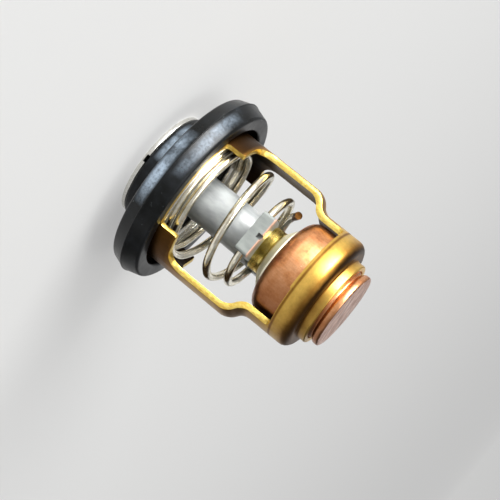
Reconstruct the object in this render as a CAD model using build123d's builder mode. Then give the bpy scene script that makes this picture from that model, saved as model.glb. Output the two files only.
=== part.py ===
# Inverted wax thermostat for a small marine engine, standing on its valve plate.
# The axis is +Z from the valve plate (floor, z = 0) up to the copper wax case.
# The two cage legs stand on +X and -X, the flow windows face -Y and +Y.
from build123d import *
from math import cos, sin, tan, radians
import os

# Driving sizes in mm
fit_gap = 0.03
sheet = 1.0

# Valve plate and its fixing
plate_radius = 9.9
plate_sheet = 0.8
plate_panel_radius = 4.8
plate_cone_width = 1.5
plate_panel_rise = 1.2
plate_edge_round = 0.15
bleed_width = 1.4
bleed_depth = 0.5
bleed_length = 2.0
bleed_angle = 280
spigot_radius = 1.95
spigot_low_z = 0.3
clip_radius = 3.7
clip_thick = 0.6
clip_slot_radius = 0.35
clip_edge = 0.2

# Rubber flange gasket
seal_gap = 0.05
gasket_bore = 8.3
neck_radius = 10.2
neck_length = 3.65
neck_root_width = 1.5
neck_root_height = 1.2
lip_round = 0.45
flange_thick = 5.6
flange_line_height = 2.6
rubber_cover = 1.05
flange_bulge = 0.95
flange_corner = 0.5
parting_ridge = 0.12
mouth_gap = 1.0

# Brass cage drawn from one sheet
cage_radius = 13.4
cage_flange_width = 2.6
cage_flange_height = 2.1
window_low_height = 3.1
tab_height = 3.6
tab_half_angle = 41.0
leg_half_width = 3.9
leg_height = 12.9
jog_height = 1.8
low_leg_height = 5.1
edge_step = 0.3
edge_step_angle = 288
cup_gap = 0.7
cup_neck_height = 1.7
jog_round = 1.3
window_top_round = 1.0
window_low_round = 0.8
tab_corner_round = 0.3
leg_foot_round = 3.2

# Seat ring under the spring
seat_height = 1.5
seat_sheet = 0.85
seat_wall = 0.6
seat_wall_height = 1.8
seat_ledge = 0.7

# Spring
wire = 1.4
spring_side_gap = 0.5

# Stem and retainer
stem_radius = 4.1
stem_foot_radius = 3.0
stem_bore_radius = 1.6
stem_bore_depth = 6.0
stem_bore_cone = 0.6
stem_shoulder_gap = 0.3
head_radius = 3.45
head_height = 0.45
head_slot = 0.8
bar_half_width = 4.0
bar_thick = 0.9
bar_under_height = 10.0
lip_inner = 9.1
lip_wall = 0.8
lip_drop = 1.6
lip_corner = 0.6
recess_radius = 6.9
recess_wall = 0.6
recess_depth = 1.25
recess_floor = 1.1
hub_wall = 0.3
slit_width = 0.9

# Wax element
case_radius = 9.2
case_wall = 0.8
case_body_height = 9.1
case_small_radius = 6.95
case_small_length = 4.8
case_bead = 0.25
case_bead_height = 1.2
case_groove = 0.3
guide_radius = 4.25
guide_gap = 0.4
guide_stand = 3.95
guide_collar = 1.9
guide_collar_height = 1.85
guide_flange_height = 1.75
guide_flange_thick = 1.4
plug_radius = 3.3
plug_tip_radius = 2.1
plug_height = 1.8
piston_radius = 1.55
piston_gap = 0.02
piston_chamfer = 0.2
disc_thick = 0.5
diaphragm_thick = 0.9

# Heights that follow, up from the floor
neck_low_z = plate_sheet + seal_gap
flange_low_z = neck_low_z + neck_length
flange_line_z = flange_low_z + flange_line_height
flange_top_z = flange_low_z + flange_thick
cage_flange_z = flange_low_z + cage_flange_height
seat_low_z = cage_flange_z + seat_height
window_low_z = cage_flange_z + window_low_height
tab_top_z = window_low_z + tab_height
jog_low_z = tab_top_z + leg_height
jog_top_z = jog_low_z + jog_height
cup_edge_z = jog_top_z + low_leg_height
bar_under_z = tab_top_z + bar_under_height
bar_top_z = bar_under_z + bar_thick
recess_top_z = bar_top_z - recess_depth
recess_low_z = recess_top_z - recess_floor
stem_foot_z = recess_low_z - stem_shoulder_gap
head_top_z = recess_top_z - fit_gap * 4
head_low_z = head_top_z - head_height
guide_top_z = recess_top_z + guide_gap
case_rim_z = guide_top_z + guide_stand
case_step_z = case_rim_z + case_body_height
case_end_z = case_step_z + case_small_length
cup_shoulder_z = case_step_z + sheet + 4 * fit_gap
cup_neck_top_z = cup_shoulder_z + cup_neck_height

# Radii that follow, out from the axis
cage_flange_radius = cage_radius + cage_flange_width
flange_edge_radius = cage_flange_radius + rubber_cover
flange_radius = flange_edge_radius + flange_bulge
gasket_mouth = cage_radius + mouth_gap
seat_outer = cage_radius - sheet - fit_gap
spring_base_radius = cage_radius - sheet - seat_wall - spring_side_gap - wire / 2
spring_end_radius = lip_inner - 4 * fit_gap - wire / 2
seat_hole = spring_base_radius - wire / 2 - seat_ledge
lip_outer = lip_inner + lip_wall
lip_low_z = bar_under_z - lip_drop
cup_radius = case_radius + cup_gap + sheet
cup_neck_radius = case_small_radius + sheet + 5 * fit_gap
case_bead_radius = case_small_radius + case_bead
guide_flange_radius = case_radius - case_wall - 0.3
guide_bore_radius = piston_radius + piston_gap
collar_radius = guide_radius + guide_collar
rim_in = collar_radius + 0.1
case_rim_round = 0.85 * (case_radius - rim_in)
cup_round = 0.61 * (cup_radius - cup_neck_radius)
cup_inner_round = 0.47 * cup_round

# Spring ends
spring_seat_z = seat_low_z + seat_sheet + fit_gap
spring_end_z = bar_under_z - fit_gap

os.makedirs("parts", exist_ok=True)


# Valve plate: pressed disc with a raised middle and a bleed groove across its rim
with BuildPart() as plate:
    with BuildSketch(Plane.XZ):
        with BuildLine():
            Polyline(
                (spigot_radius + fit_gap, plate_panel_rise),
                (plate_panel_radius, plate_panel_rise),
                (plate_panel_radius + plate_cone_width, 0),
                (plate_radius, 0),
                (plate_radius, plate_sheet),
                (plate_panel_radius + plate_cone_width + plate_sheet / 2, plate_sheet),
                (plate_panel_radius + plate_sheet / 2, plate_panel_rise + plate_sheet),
                (spigot_radius + fit_gap, plate_panel_rise + plate_sheet),
                close=True,
            )
        make_face()
    revolve(axis=Axis.Z)
    rim_edges = plate.edges().filter_by(GeomType.CIRCLE).filter_by(
        lambda e: abs(e.radius - plate_radius) < 0.01
    )
    fillet(rim_edges, plate_edge_round)
    with BuildSketch(Plane.XY.offset(plate_sheet - bleed_depth)):
        with PolarLocations(plate_radius, 1, start_angle=bleed_angle):
            Rectangle(2 * bleed_length, bleed_width)
    extrude(amount=plate_sheet, mode=Mode.SUBTRACT)
plate.part.label = "valve_plate"
export_step(plate.part, "parts/valve_plate.step")

# Push-on clip that holds the plate to the stem spigot
clip_top_z = plate_panel_rise - fit_gap
with BuildPart() as clip:
    with BuildSketch(Plane.XY.offset(clip_top_z - clip_thick)):
        Circle(clip_radius)
        Circle(spigot_radius + fit_gap, mode=Mode.SUBTRACT)
        with PolarLocations(spigot_radius + 0.7 * clip_slot_radius, 6):
            Circle(clip_slot_radius, mode=Mode.SUBTRACT)
    extrude(amount=clip_thick)
    clip_low = clip.edges().group_by(Axis.Z)[0].filter_by(
        lambda e: e.geom_type == GeomType.CIRCLE and abs(e.radius - clip_radius) < 0.01
    )
    chamfer(clip_low, clip_edge)
clip.part.label = "plate_clip"
export_step(clip.part, "parts/plate_clip.step")

# Moulded stem with a blind bore for the piston and a snap head for the retainer
stem_low_z = plate_panel_rise + plate_sheet + fit_gap
with BuildPart() as stem:
    with BuildSketch(Plane.XZ):
        with BuildLine():
            Polyline(
                (0, spigot_low_z),
                (spigot_radius, spigot_low_z),
                (spigot_radius, stem_low_z),
                (stem_radius, stem_low_z),
                (stem_radius, stem_foot_z),
                (stem_foot_radius, stem_foot_z),
                (stem_foot_radius, head_low_z),
                (head_radius, head_low_z + head_height / 4),
                (stem_foot_radius, head_top_z),
                (stem_bore_radius, head_top_z),
                (stem_bore_radius, head_top_z - stem_bore_depth),
                (0, head_top_z - stem_bore_depth - stem_bore_cone),
                close=True,
            )
        make_face()
    revolve(axis=Axis.Z)
    with Locations((0, 0, head_top_z)):
        Box(head_slot, 3 * head_radius, 4 * head_height, mode=Mode.SUBTRACT)
stem.part.label = "valve_stem"
export_step(stem.part, "parts/valve_stem.step")

# Spring retainer: a cross strip dished in the middle, with lips that hold the end coil from outside
dish_outer = recess_radius + recess_wall
with BuildPart() as retainer:
    with BuildSketch(Plane.YZ):
        with BuildLine():
            Polyline(
                (-lip_outer, lip_low_z),
                (-lip_inner, lip_low_z),
                (-lip_inner, bar_under_z),
                (lip_inner, bar_under_z),
                (lip_inner, lip_low_z),
                (lip_outer, lip_low_z),
                (lip_outer, bar_top_z),
                (-lip_outer, bar_top_z),
                close=True,
            )
        make_face()
    extrude(amount=bar_half_width, both=True)
    upright = retainer.edges().filter_by(Axis.Z).filter_by(
        lambda e: abs(abs(e.center().Y) - lip_outer) < 0.01
    )
    fillet(upright, lip_corner)
    with BuildSketch(Plane.XY.offset(recess_low_z)) as dish_sketch:
        Circle(dish_outer)
        Rectangle(2 * bar_half_width, 2 * lip_outer, mode=Mode.INTERSECT)
    extrude(dish_sketch.sketch, amount=bar_top_z - recess_low_z)
    with Locations((0, 0, recess_low_z)):
        Cylinder(
            stem_radius + hub_wall,
            recess_floor,
            align=(Align.CENTER, Align.CENTER, Align.MIN),
        )
    with Locations((0, 0, recess_top_z)):
        Cylinder(
            recess_radius,
            2 * recess_depth,
            align=(Align.CENTER, Align.CENTER, Align.MIN),
            mode=Mode.SUBTRACT,
        )
        CounterBoreHole(stem_foot_radius + fit_gap, head_radius + 5 * fit_gap, recess_top_z - head_low_z)
    for side in (-1, 1):
        with Locations((0, side * (lip_inner + lip_outer) / 2, bar_top_z)):
            Box(slit_width, lip_wall * 1.5, 2 * bar_thick, mode=Mode.SUBTRACT)
retainer.part.label = "spring_retainer"
export_step(retainer.part, "parts/spring_retainer.step")

# Closing spring: closed coils on the seat, tapering to a flat end coil
# each row: turns, share of the way out to the base radius, share of the height
spring_rows = [
    (-0.35, 1.0, 0.0),
    (0.0, 1.0, 0.0),
    (0.65, 1.0, 0.112),
    (1.0, 1.0, 0.12),
    (1.25, 0.98, 0.175),
    (1.5, 0.88, 0.34),
    (1.75, 0.78, 0.53),
    (2.0, 0.7, 0.645),
    (2.25, 0.57, 0.74),
    (2.5, 0.39, 0.87),
    (2.75, 0.2, 0.97),
    (3.0, 0.02, 1.0),
    (3.25, 0.0, 1.0),
    (3.64, 0.0, 1.0),
    (3.74, -0.12, 1.15),
]
first_z = spring_seat_z + wire / 2
last_z = spring_end_z - wire / 2
spring_steps = 40
half_step = radians(180 * (spring_rows[-1][0] - spring_rows[0][0]) / spring_steps)
spring_points = []
for step in range(spring_steps + 1):
    turn = spring_rows[0][0] + (spring_rows[-1][0] - spring_rows[0][0]) * step / spring_steps
    for low, high in zip(spring_rows, spring_rows[1:]):
        if turn <= high[0] + 0.0001:
            part_way = (turn - low[0]) / (high[0] - low[0])
            out_share = low[1] + (high[1] - low[1]) * part_way
            up_share = low[2] + (high[2] - low[2]) * part_way
            break
    angle = radians(270 + 360 * turn)
    coil_radius = spring_end_radius + (spring_base_radius - spring_end_radius) * out_share
    coil_z = first_z + (last_z - first_z) * up_share
    corner_radius = coil_radius / cos(half_step)
    spring_points.append(Vector(corner_radius * cos(angle), corner_radius * sin(angle), coil_z))
bend_radii = []
for before, corner, after in zip(spring_points, spring_points[1:], spring_points[2:]):
    run_in = corner - before
    run_out = after - corner
    half_turn = radians(run_in.get_angle(run_out) / 2)
    bend_radii.append(0.49 * min(run_in.length, run_out.length) / tan(half_turn))
with BuildPart() as spring:
    with BuildLine() as coil_line:
        FilletPolyline(*spring_points, radius=bend_radii)
    with BuildSketch(Plane(coil_line.line @ 0, z_dir=coil_line.line % 0)):
        Circle(wire / 2)
    sweep(path=coil_line.line)
spring.part.label = "closing_spring"
export_step(spring.part, "parts/closing_spring.step")

# Seat ring: steel dish that carries the spring and clamps the rubber inside the cage
with BuildPart() as seat:
    with BuildSketch(Plane.XZ):
        with BuildLine():
            Polyline(
                (seat_hole, seat_low_z),
                (seat_outer, seat_low_z),
                (seat_outer, seat_low_z + seat_wall_height),
                (seat_outer - seat_wall, seat_low_z + seat_wall_height),
                (seat_outer - seat_wall, seat_low_z + seat_sheet),
                (seat_hole, seat_low_z + seat_sheet),
                close=True,
            )
        make_face()
    revolve(axis=Axis.Z)
seat.part.label = "seat_ring"
export_step(seat.part, "parts/seat_ring.step")

# Brass cage: flange, skirt, two legs, inward jog and cup in one drawn sheet
with BuildPart() as cage:
    with BuildSketch(Plane.XZ):
        with BuildLine():
            Polyline(
                (cage_radius - sheet, cage_flange_z),
                (cage_flange_radius, cage_flange_z),
                (cage_flange_radius, cage_flange_z + sheet),
                (cage_radius, cage_flange_z + sheet),
                (cage_radius, jog_low_z),
                (cup_radius, jog_top_z),
                (cup_radius, cup_shoulder_z),
                (cup_neck_radius, cup_shoulder_z),
                (cup_neck_radius, cup_neck_top_z),
                (cup_neck_radius - sheet, cup_neck_top_z),
                (cup_neck_radius - sheet, cup_shoulder_z - sheet),
                (cup_radius - sheet, cup_shoulder_z - sheet),
                (cup_radius - sheet, jog_top_z - sheet / 2),
                (cage_radius - sheet, jog_low_z - sheet / 2),
                close=True,
            )
        face = make_face()
        corner_points = face.vertices()
        outside = [v for v in corner_points if abs(v.X - cup_radius) < 0.01 and v.Y > jog_top_z + 1]
        inside_radius = cup_radius - sheet
        inside = [v for v in corner_points if abs(v.X - inside_radius) < 0.01 and v.Y > jog_top_z + 1]
        jog = [v for v in corner_points if jog_low_z - sheet < v.Y < jog_top_z + 0.1]
        fillet(outside, cup_round)
        fillet(inside, cup_inner_round)
        fillet(jog, jog_round)
    revolve(axis=Axis.Z)
    for middle in (-90, 90):
        with BuildSketch(Plane.XY.offset(window_low_z)):
            with BuildLine():
                tab_arc = CenterArc((0, 0), 1.3 * cage_radius, middle - tab_half_angle, 2 * tab_half_angle)
                Line((0, 0), tab_arc @ 0)
                Line(tab_arc @ 1, (0, 0))
            make_face()
        extrude(amount=1.5 * tab_height, mode=Mode.SUBTRACT)
    for side in (-1, 1):
        with BuildSketch(Plane.YZ) as window:
            with Locations((side * (leg_half_width + cage_radius), (tab_top_z + cup_edge_z) / 2)):
                Rectangle(2 * cage_radius, cup_edge_z - tab_top_z)
            near_leg = [v for v in window.vertices() if abs(abs(v.X) - leg_half_width) < 0.01]
            fillet([v for v in near_leg if v.Y < tab_top_z + 1], leg_foot_round)
            near_leg = [v for v in window.vertices() if abs(abs(v.X) - leg_half_width) < 0.01]
            fillet([v for v in near_leg if v.Y > cup_edge_z - 0.1], window_top_round)
        extrude(amount=2 * cage_radius, both=True, mode=Mode.SUBTRACT)
    tab_corners = cage.edges().filter_by(GeomType.LINE).filter_by(
        lambda e: abs(e.length - sheet) < 0.02 and abs(e.center().Z - tab_top_z) < 0.01
    )
    fillet(tab_corners, tab_corner_round)
    window_low = cage.edges().filter_by(GeomType.LINE).filter_by(
        lambda e: abs(e.length - sheet) < 0.02 and abs(e.center().Z - window_low_z) < 0.01
    )
    fillet(window_low, window_low_round)
    # the near window's upper edge is a little lower on one side
    step_x = cup_radius * cos(radians(edge_step_angle))
    with Locations((step_x, -leg_half_width - window_top_round, cup_edge_z - edge_step)):
        Box(
            2 * cage_radius,
            2 * cage_radius,
            2 * edge_step,
            align=(Align.MIN, Align.MAX, Align.MIN),
            mode=Mode.SUBTRACT,
        )
cage.part.label = "frame_cage"
export_step(cage.part, "parts/frame_cage.step")

# Rubber flange gasket moulded round the cage flange
with BuildPart() as gasket:
    with BuildSketch(Plane.XZ):
        with BuildLine():
            Polyline(
                (gasket_bore, neck_low_z),
                (neck_radius, neck_low_z),
                (neck_radius, flange_low_z - neck_root_height),
                (neck_radius + neck_root_width, flange_low_z),
                (flange_edge_radius, flange_low_z),
                (flange_radius - parting_ridge, flange_line_z - parting_ridge),
                (flange_radius, flange_line_z - parting_ridge),
                (flange_radius, flange_line_z + parting_ridge),
                (flange_radius - parting_ridge, flange_line_z + parting_ridge),
                (flange_edge_radius, flange_top_z),
                (gasket_mouth, flange_top_z),
                (gasket_mouth, cage_flange_z + sheet + fit_gap),
                (cage_flange_radius + fit_gap, cage_flange_z + sheet + fit_gap),
                (cage_flange_radius + fit_gap, cage_flange_z - fit_gap),
                (cage_radius - sheet - fit_gap, cage_flange_z - fit_gap),
                (cage_radius - sheet - fit_gap, seat_low_z - fit_gap),
                (gasket_bore, seat_low_z - fit_gap),
                close=True,
            )
        face = make_face()
        points = face.vertices()
        edge_corners = [v for v in points if abs(v.X - flange_edge_radius) < 0.01]
        lip_corners = [v for v in points if abs(v.Y - neck_low_z) < 0.01]
        mouth_corner = [v for v in points if abs(v.X - gasket_mouth) < 0.01 and v.Y > flange_line_z]
        root_corners = [v for v in points if abs(v.X - neck_radius) < 0.01 and v.Y > neck_low_z + 1]
        fillet(edge_corners, flange_corner)
        fillet(lip_corners, lip_round)
        fillet(mouth_corner, flange_corner)
        fillet(root_corners, 1.5 * flange_corner)
    revolve(axis=Axis.Z)
gasket.part.label = "flange_gasket"
export_step(gasket.part, "parts/flange_gasket.step")

# Copper case of the wax element: rolled rim, body and small end with a bead
with BuildPart() as case:
    with BuildSketch(Plane.XZ):
        with BuildLine():
            Polyline(
                (0, case_end_z),
                (case_bead_radius, case_end_z),
                (case_bead_radius, case_end_z - case_bead_height),
                (case_small_radius - case_groove, case_end_z - case_bead_height - case_groove),
                (case_small_radius - case_groove, case_end_z - case_bead_height - 2 * case_groove),
                (case_small_radius, case_end_z - case_bead_height - 3 * case_groove),
                (case_small_radius, case_step_z),
                (case_radius, case_step_z),
                (case_radius, case_rim_z),
                (rim_in, case_rim_z),
                (rim_in, case_rim_z + case_wall),
                (case_radius - case_wall, case_rim_z + case_wall),
                (case_radius - case_wall, case_step_z - case_wall),
                (case_small_radius - case_wall, case_step_z - case_wall),
                (case_small_radius - case_wall - case_groove, case_end_z - case_wall),
                (0, case_end_z - case_wall),
                close=True,
            )
        face = make_face()
        points = face.vertices()
        ends = [v for v in points if abs(v.X - case_bead_radius) < 0.01]
        rim = [v for v in points if v.X > case_radius - 0.01 and v.Y < case_rim_z + 0.01]
        under_rim = [
            v for v in points
            if abs(v.X - case_radius + case_wall) < 0.01 and v.Y < case_rim_z + case_wall + 0.01
        ]
        step = [v for v in points if v.X > case_radius - 0.01 and v.Y > case_step_z - 0.01]
        lip = [v for v in points if abs(v.X - rim_in) < 0.01]
        fillet(ends, case_bead_height / 3)
        fillet(rim, case_rim_round)
        fillet(under_rim, case_rim_round - case_wall)
        fillet(step, cup_inner_round)
        fillet(lip, case_wall / 3)
    revolve(axis=Axis.Z)
case.part.label = "element_case"
export_step(case.part, "parts/element_case.step")

# Brass guide: cylinder, conical collar and clamped flange with the piston bore
guide_flange_z = case_rim_z + guide_flange_height
flange_top = guide_flange_z + guide_flange_thick
with BuildPart() as guide:
    with BuildSketch(Plane.XZ):
        with BuildLine():
            Polyline(
                (guide_bore_radius, guide_top_z),
                (guide_radius, guide_top_z),
                (guide_radius, case_rim_z - guide_collar_height),
                (collar_radius, case_rim_z - guide_collar_height / 4),
                (collar_radius, guide_flange_z),
                (guide_flange_radius, guide_flange_z + case_wall),
                (guide_flange_radius, flange_top),
                (plug_radius + fit_gap, flange_top),
                (plug_tip_radius + fit_gap, flange_top - plug_height),
                (guide_bore_radius, flange_top - plug_height),
                close=True,
            )
        face = make_face()
        mouth = [v for v in face.vertices() if v.Y < guide_top_z + 0.01]
        chamfer(mouth, piston_chamfer)
    revolve(axis=Axis.Z)
guide.part.label = "element_guide"
export_step(guide.part, "parts/element_guide.step")

# Hardened piston, standing in the stem bore and the guide bore
disc_low_z = flange_top - plug_height - disc_thick - fit_gap
piston_low_z = head_top_z - stem_bore_depth + fit_gap
with BuildPart() as piston:
    with BuildSketch(Plane.XY.offset(piston_low_z)):
        Circle(piston_radius)
    extrude(amount=disc_low_z - fit_gap - piston_low_z)
    chamfer(piston.edges().filter_by(GeomType.CIRCLE), piston_chamfer)
piston.part.label = "piston"
export_step(piston.part, "parts/piston.step")

# Back-up disc and rubber plug between the piston and the diaphragm
with BuildPart() as disc:
    with BuildSketch(Plane.XY.offset(disc_low_z)):
        Circle(piston_radius)
    extrude(amount=disc_thick)
disc.part.label = "backup_disc"
export_step(disc.part, "parts/backup_disc.step")

with BuildPart() as plug:
    with BuildSketch(Plane.XZ):
        with BuildLine():
            Polyline(
                (0, flange_top - plug_height + fit_gap),
                (plug_tip_radius, flange_top - plug_height + fit_gap),
                (plug_radius, flange_top),
                (0, flange_top),
                close=True,
            )
        make_face()
    revolve(axis=Axis.Z)
plug.part.label = "rubber_plug"
export_step(plug.part, "parts/rubber_plug.step")

# Rubber diaphragm clamped between the guide flange and the case
with BuildPart() as diaphragm:
    with BuildSketch(Plane.XY.offset(flange_top + fit_gap)):
        Circle(guide_flange_radius)
    extrude(amount=diaphragm_thick)
diaphragm.part.label = "diaphragm"
export_step(diaphragm.part, "parts/diaphragm.step")

# Wax charge that swells as it melts
wax_low_z = flange_top + diaphragm_thick + 2 * fit_gap
wax_radius = case_radius - case_wall - fit_gap
wax_small_radius = case_small_radius - case_wall - 3 * fit_gap
with BuildPart() as wax:
    with BuildSketch(Plane.XZ):
        with BuildLine():
            Polyline(
                (0, wax_low_z),
                (wax_radius, wax_low_z),
                (wax_radius, case_step_z - case_wall - fit_gap),
                (wax_small_radius, case_step_z - case_wall - fit_gap),
                (wax_small_radius - case_groove, case_end_z - case_wall - fit_gap),
                (0, case_end_z - case_wall - fit_gap),
                close=True,
            )
        make_face()
    revolve(axis=Axis.Z)
wax.part.label = "wax_charge"
export_step(wax.part, "parts/wax_charge.step")
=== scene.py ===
import math
import bmesh
import bpy
from mathutils import Matrix, Vector


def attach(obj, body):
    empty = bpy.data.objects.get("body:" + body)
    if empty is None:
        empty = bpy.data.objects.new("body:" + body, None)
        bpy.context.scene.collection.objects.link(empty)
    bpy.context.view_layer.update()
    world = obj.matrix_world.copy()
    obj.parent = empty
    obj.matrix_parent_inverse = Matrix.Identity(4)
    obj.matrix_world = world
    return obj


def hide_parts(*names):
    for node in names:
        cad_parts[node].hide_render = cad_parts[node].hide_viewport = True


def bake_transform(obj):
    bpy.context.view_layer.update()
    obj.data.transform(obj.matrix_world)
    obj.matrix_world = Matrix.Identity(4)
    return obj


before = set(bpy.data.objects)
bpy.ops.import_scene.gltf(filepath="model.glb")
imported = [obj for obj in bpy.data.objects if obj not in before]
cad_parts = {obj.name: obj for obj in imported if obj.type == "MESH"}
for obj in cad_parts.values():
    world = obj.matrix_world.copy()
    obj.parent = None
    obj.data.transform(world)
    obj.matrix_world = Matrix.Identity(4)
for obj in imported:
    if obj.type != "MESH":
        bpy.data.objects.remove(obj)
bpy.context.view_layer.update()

mm = 0.001
samePoint = 1e-7  # points nearer than this are one
cutSharp = 32  # degrees past which a cut piece keeps a sharp edge


# small helpers for nodes and meshes


def linear(hexColour):  # sRGB hex to the linear colour that nodes expect
    channels = []
    for place in (0, 2, 4):
        value = int(hexColour[place:place + 2], 16) / 255
        channels.append(value / 12.92 if value <= 0.04045 else ((value + 0.055) / 1.055) ** 2.4)
    return (*channels, 1.0)


def grey(value):
    return (value, value, value, 1.0)


def connect(tree, node, inputs):  # an input is a number, a colour or another node's output
    for key, value in inputs.items():
        if isinstance(value, bpy.types.NodeSocket):
            tree.links.new(value, node.inputs[key])
        else:
            node.inputs[key].default_value = value


def addNode(tree, kind, settings=None, inputs=None, stops=()):
    # stops are the (place, colour) pairs of a colour ramp
    node = tree.nodes.new(kind)
    for key, value in (settings or {}).items():
        setattr(node, key, value)
    connect(tree, node, inputs or {})
    while stops and len(node.color_ramp.elements) < len(stops):
        node.color_ramp.elements.new(0.5)
    for number, (place, colour) in enumerate(stops):
        node.color_ramp.elements[number].position = place
        node.color_ramp.elements[number].color = colour
    return node


def startMaterial(name):
    material = bpy.data.materials.new(name)
    material.use_nodes = True
    tree = material.node_tree
    tree.nodes.clear()
    shader = addNode(tree, "ShaderNodeBsdfPrincipled")
    addNode(tree, "ShaderNodeOutputMaterial", inputs={"Surface": shader.outputs["BSDF"]})
    where = addNode(tree, "ShaderNodeTexCoord").outputs["Object"]
    return material, tree, shader, where


def byHeight(tree, where, low, high, atLow=0.0, atHigh=1.0):  # from atLow to atHigh between two heights in mm
    parts = addNode(tree, "ShaderNodeSeparateXYZ", inputs={"Vector": where})
    level = addNode(tree, "ShaderNodeMapRange", inputs={
        "Value": parts.outputs["Z"], "From Min": low * mm, "From Max": high * mm,
        "To Min": atLow, "To Max": atHigh})
    return level.outputs["Result"]


def towardsSide(tree, where, azimuth, low, high):  # 0 to 1 by the angle round the axis
    flat = addNode(tree, "ShaderNodeVectorMath", {"operation": "MULTIPLY"}, {0: where, 1: (1, 1, 0)})
    outward = addNode(tree, "ShaderNodeVectorMath", {"operation": "NORMALIZE"}, {0: flat.outputs["Vector"]})
    turn = math.radians(azimuth)
    facing = addNode(tree, "ShaderNodeVectorMath", {"operation": "DOT_PRODUCT"}, {
        0: outward.outputs["Vector"], 1: (math.cos(turn), math.sin(turn), 0)})
    share = addNode(tree, "ShaderNodeMapRange", inputs={
        "Value": facing.outputs["Value"], "From Min": low, "From Max": high})
    return share.outputs["Result"]


def smoothShaded(mesh, sharpAngle):
    for polygon in mesh.polygons:
        polygon.use_smooth = True
    mesh.set_sharp_from_angle(angle=math.radians(sharpAngle))


def pieceFromBmesh(name, bm, material, sharpAngle=35):
    mesh = bpy.data.meshes.new(name)
    bm.to_mesh(mesh)
    bm.free()
    smoothShaded(mesh, sharpAngle)
    mesh.materials.append(material)
    piece = bpy.data.objects.new(name, mesh)
    bpy.context.scene.collection.objects.link(piece)
    return piece


def applyModifiers(piece):  # bakes the piece's modifiers into its mesh
    depsgraph = bpy.context.evaluated_depsgraph_get()
    baked = bpy.data.meshes.new_from_object(piece.evaluated_get(depsgraph))
    piece.modifiers.clear()
    piece.data = baked


def cutAway(piece, cutter):  # the cut faces take the cutter's material
    cut = piece.modifiers.new("cut", "BOOLEAN")
    cut.operation = "DIFFERENCE"
    cut.solver = "EXACT"
    cut.material_mode = "TRANSFER"
    cut.object = cutter
    applyModifiers(piece)
    bpy.data.objects.remove(cutter)


def upright(across, up):
    return Vector((across * mm, 0, up * mm))


def roundedOutline(bm, corners):  # corners are (across, up, rounding) in mm
    verts = [bm.verts.new(upright(across, up)) for across, up, _ in corners]
    bm.faces.new(verts)
    for vert, (_, _, rounding) in zip(verts, corners):
        if rounding > 0:
            steps = 3 if rounding < 0.3 else 6
            bmesh.ops.bevel(bm, geom=[vert], offset=rounding * mm, offset_type="OFFSET",
                            segments=steps, profile=0.5, affect="VERTICES", material=-1)
    return bm.faces[:][0]


def turned(name, corners, material, steps=144):
    # a turned or pressed piece: a closed outline, spun about the axis
    bm = bmesh.new()
    face = roundedOutline(bm, corners)
    bmesh.ops.delete(bm, geom=[face], context="FACES_ONLY")
    onAxis = [e for e in bm.edges if all(abs(v.co.x) < samePoint for v in e.verts)]
    bmesh.ops.delete(bm, geom=onAxis, context="EDGES")
    bmesh.ops.spin(bm, geom=bm.verts[:] + bm.edges[:], cent=(0, 0, 0), axis=(0, 0, 1),
                   dvec=(0, 0, 0), angle=2 * math.pi, steps=steps, use_merge=True, use_duplicate=False)
    bmesh.ops.remove_doubles(bm, verts=bm.verts[:], dist=samePoint)
    bmesh.ops.recalc_face_normals(bm, faces=bm.faces[:])
    return pieceFromBmesh(name, bm, material)


def finishNode(node, finish):  # a CAD node that is shown as it is
    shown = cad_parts[node]
    shown.data.materials.clear()
    shown.data.materials.append(finishes[finish])


# materials: every pattern's scale is one over its real size
# a Mix node's colours are inputs 6 and 7 and output 2

rgba = {"data_type": "RGBA"}


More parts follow.
